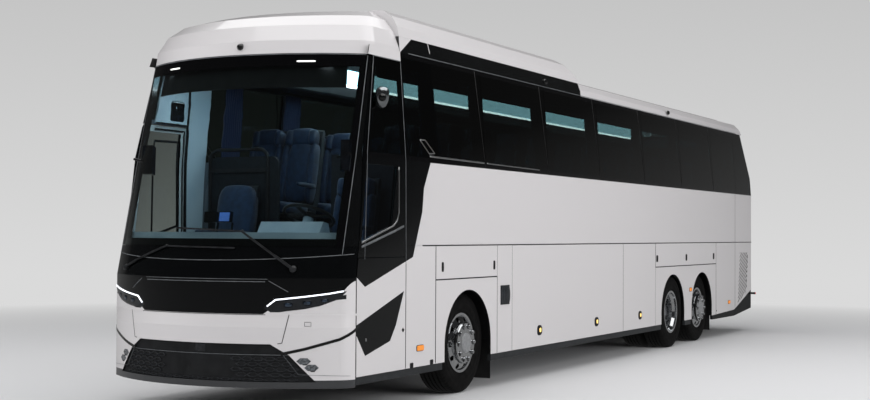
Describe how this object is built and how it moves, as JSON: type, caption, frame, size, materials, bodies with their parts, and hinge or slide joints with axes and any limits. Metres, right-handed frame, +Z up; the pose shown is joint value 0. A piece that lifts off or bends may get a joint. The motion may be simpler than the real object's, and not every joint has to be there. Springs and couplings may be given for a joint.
{
  "type": "three-axle touring coach",
  "caption": "High-floor three-axle touring coach with steered front wheels, a parallel-swing entrance door and top-hinged luggage flaps.",
  "frame": {"origin": "on the ground under the middle of the coach, midway along its length and across its width", "axes": "the front faces -Y, +X is the coach's left (driver's side), +Z is up"},
  "size_m": [2.7708, 13.86, 3.6649],
  "materials": {
    "body_paint": "gloss enamel",
    "gloss_black": "gloss",
    "black_plastic": "grained",
    "black_rubber": "matt",
    "tyre": "matt",
    "rim_metal": "polished",
    "chassis_metal": "satin",
    "engine_metal": "cast",
    "steel": "brushed",
    "bay_lining": "mill finish",
    "floor_cover": "textured",
    "tinted_glass": "gloss",
    "screen_glass": "gloss",
    "lamp_lens": "gloss",
    "red_lens": "gloss",
    "dash_plastic": "grained",
    "soft_plastic": "soft grain",
    "seat_fabric": "woven"
  },
  "bodies": {
    "root": {"axle_beams": "chassis_metal", "bumper_front": "body_paint", "bumper_rear": "black_plastic", "cameras": "gloss_black", "chassis_frame": "chassis_metal", "dashboard": "dash_plastic", "deck": "floor_cover", "engine": "engine_metal", "front_frame": "gloss_black", "grilles": "black_plastic", "lamps_front": "lamp_lens", "lamps_rear": "red_lens", "lower_trim": "black_plastic", "luggage_bay": "bay_lining", "luggage_racks": "dash_plastic", "mask_front": "gloss_black", "mud_flaps": "black_rubber", "partition": "dash_plastic", "rear_glass": "tinted_glass", "rear_wall": "body_paint", "roof": "body_paint", "roof_cap": "body_paint", "roof_coves": "gloss_black", "roof_pods": "body_paint", "seats": "seat_fabric", "side_glass_left": "tinted_glass", "side_glass_right": "tinted_glass", "side_upper_left": "body_paint", "side_upper_right": "body_paint", "skirt_left": "body_paint", "skirt_right": "body_paint", "wheel_housings": "black_plastic", "wheel_panels": "body_paint", "windscreen": "screen_glass", "wipers": "black_plastic"},
    "knuckle_left": {"knuckle_left": "chassis_metal"},
    "wheel_front_left": {"tyre_front_left": "tyre", "rim_front_left": "rim_metal"},
    "wheel_drive_left": {"tyre_drive_left": "tyre", "rim_drive_left": "rim_metal"},
    "wheel_tag_left": {"tyre_tag_left": "tyre", "rim_tag_left": "rim_metal"},
    "flap_luggage_front_left": {"flap_luggage_front_left": "body_paint"},
    "flap_luggage_rear_left": {"flap_luggage_rear_left": "body_paint"},
    "knuckle_right": {"knuckle_right": "chassis_metal"},
    "wheel_front_right": {"tyre_front_right": "tyre", "rim_front_right": "rim_metal"},
    "wheel_drive_right": {"tyre_drive_right": "tyre", "rim_drive_right": "rim_metal"},
    "wheel_tag_right": {"tyre_tag_right": "tyre", "rim_tag_right": "rim_metal"},
    "flap_luggage_front_right": {"flap_luggage_front_right": "body_paint"},
    "flap_luggage_rear_right": {"flap_luggage_rear_right": "body_paint"},
    "door_front_arm": {"door_front_arm": "steel"},
    "door_front": {"door_front": "body_paint", "door_front_glass": "screen_glass"},
    "flap_service": {"flap_service": "body_paint"},
    "engine_lid": {"engine_lid": "body_paint"},
    "steering_wheel": {"steering_wheel": "soft_plastic"}
  },
  "joints": [
    {"name": "steer_left", "type": "hinge", "parent": "root", "child": "knuckle_left", "pos_m": [0.93, -4.13, 0.5], "axis": [0, 0, 1], "range_deg": [-40, 40]},
    {"name": "spin_front_left", "type": "hinge", "parent": "knuckle_left", "child": "wheel_front_left", "pos_m": [1.05, -4.13, 0.5], "axis": [1, 0, 0], "continuous": true},
    {"name": "spin_drive_left", "type": "hinge", "parent": "root", "child": "wheel_drive_left", "pos_m": [0.94, 2.55, 0.5], "axis": [1, 0, 0], "continuous": true},
    {"name": "spin_tag_left", "type": "hinge", "parent": "root", "child": "wheel_tag_left", "pos_m": [1.07, 3.965, 0.5], "axis": [1, 0, 0], "continuous": true},
    {"name": "open_flap_front_left", "type": "hinge", "parent": "root", "child": "flap_luggage_front_left", "pos_m": [1.271, -1.55, 1.476], "axis": [0, -1, 0], "range_deg": [0, 100]},
    {"name": "open_flap_rear_left", "type": "hinge", "parent": "root", "child": "flap_luggage_rear_left", "pos_m": [1.271, 1.1, 1.476], "axis": [0, -1, 0], "range_deg": [0, 100]},
    {"name": "steer_right", "type": "hinge", "parent": "root", "child": "knuckle_right", "pos_m": [-0.93, -4.13, 0.5], "axis": [0, 0, 1], "range_deg": [-40, 40]},
    {"name": "spin_front_right", "type": "hinge", "parent": "knuckle_right", "child": "wheel_front_right", "pos_m": [-1.05, -4.13, 0.5], "axis": [1, 0, 0], "continuous": true},
    {"name": "spin_drive_right", "type": "hinge", "parent": "root", "child": "wheel_drive_right", "pos_m": [-0.94, 2.55, 0.5], "axis": [1, 0, 0], "continuous": true},
    {"name": "spin_tag_right", "type": "hinge", "parent": "root", "child": "wheel_tag_right", "pos_m": [-1.07, 3.965, 0.5], "axis": [1, 0, 0], "continuous": true},
    {"name": "open_flap_front_right", "type": "hinge", "parent": "root", "child": "flap_luggage_front_right", "pos_m": [-1.271, -1.55, 1.476], "axis": [0, 1, 0], "range_deg": [0, 100]},
    {"name": "open_flap_rear_right", "type": "hinge", "parent": "root", "child": "flap_luggage_rear_right", "pos_m": [-1.271, 1.1, 1.476], "axis": [0, 1, 0], "range_deg": [0, 100]},
    {"name": "turn_steering_wheel", "type": "hinge", "parent": "root", "child": "steering_wheel", "pos_m": [0.65, -6.13, 1.735], "axis": [0, 0.4226, 0.9063], "range_deg": [-720, 720]},
    {"name": "swing_door_arm", "type": "hinge", "parent": "root", "child": "door_front_arm", "pos_m": [-1.18, -6.21, 1.5], "axis": [0, 0, 1], "range_deg": [0, 125]},
    {"name": "door_leaf", "type": "hinge", "parent": "door_front_arm", "child": "door_front", "pos_m": [-1.209, -5.74, 1.5], "axis": [0, 0, 1], "range_deg": [-125, 0]},
    {"name": "open_service_flap", "type": "hinge", "parent": "root", "child": "flap_service", "pos_m": [1.271, -6.352, 0.78], "axis": [0, 0, -1], "range_deg": [0, 95]},
    {"name": "open_engine_lid", "type": "hinge", "parent": "root", "child": "engine_lid", "pos_m": [0, 6.916, 1.7], "axis": [1, 0, 0], "range_deg": [0, 75]}
  ],
  "couplings": [
    {"joint": "steer_right", "follows": "steer_left", "ratio": 1},
    {"joint": "turn_steering_wheel", "follows": "steer_left", "ratio": 18},
    {"joint": "door_leaf", "follows": "swing_door_arm", "ratio": -1}
  ]
}
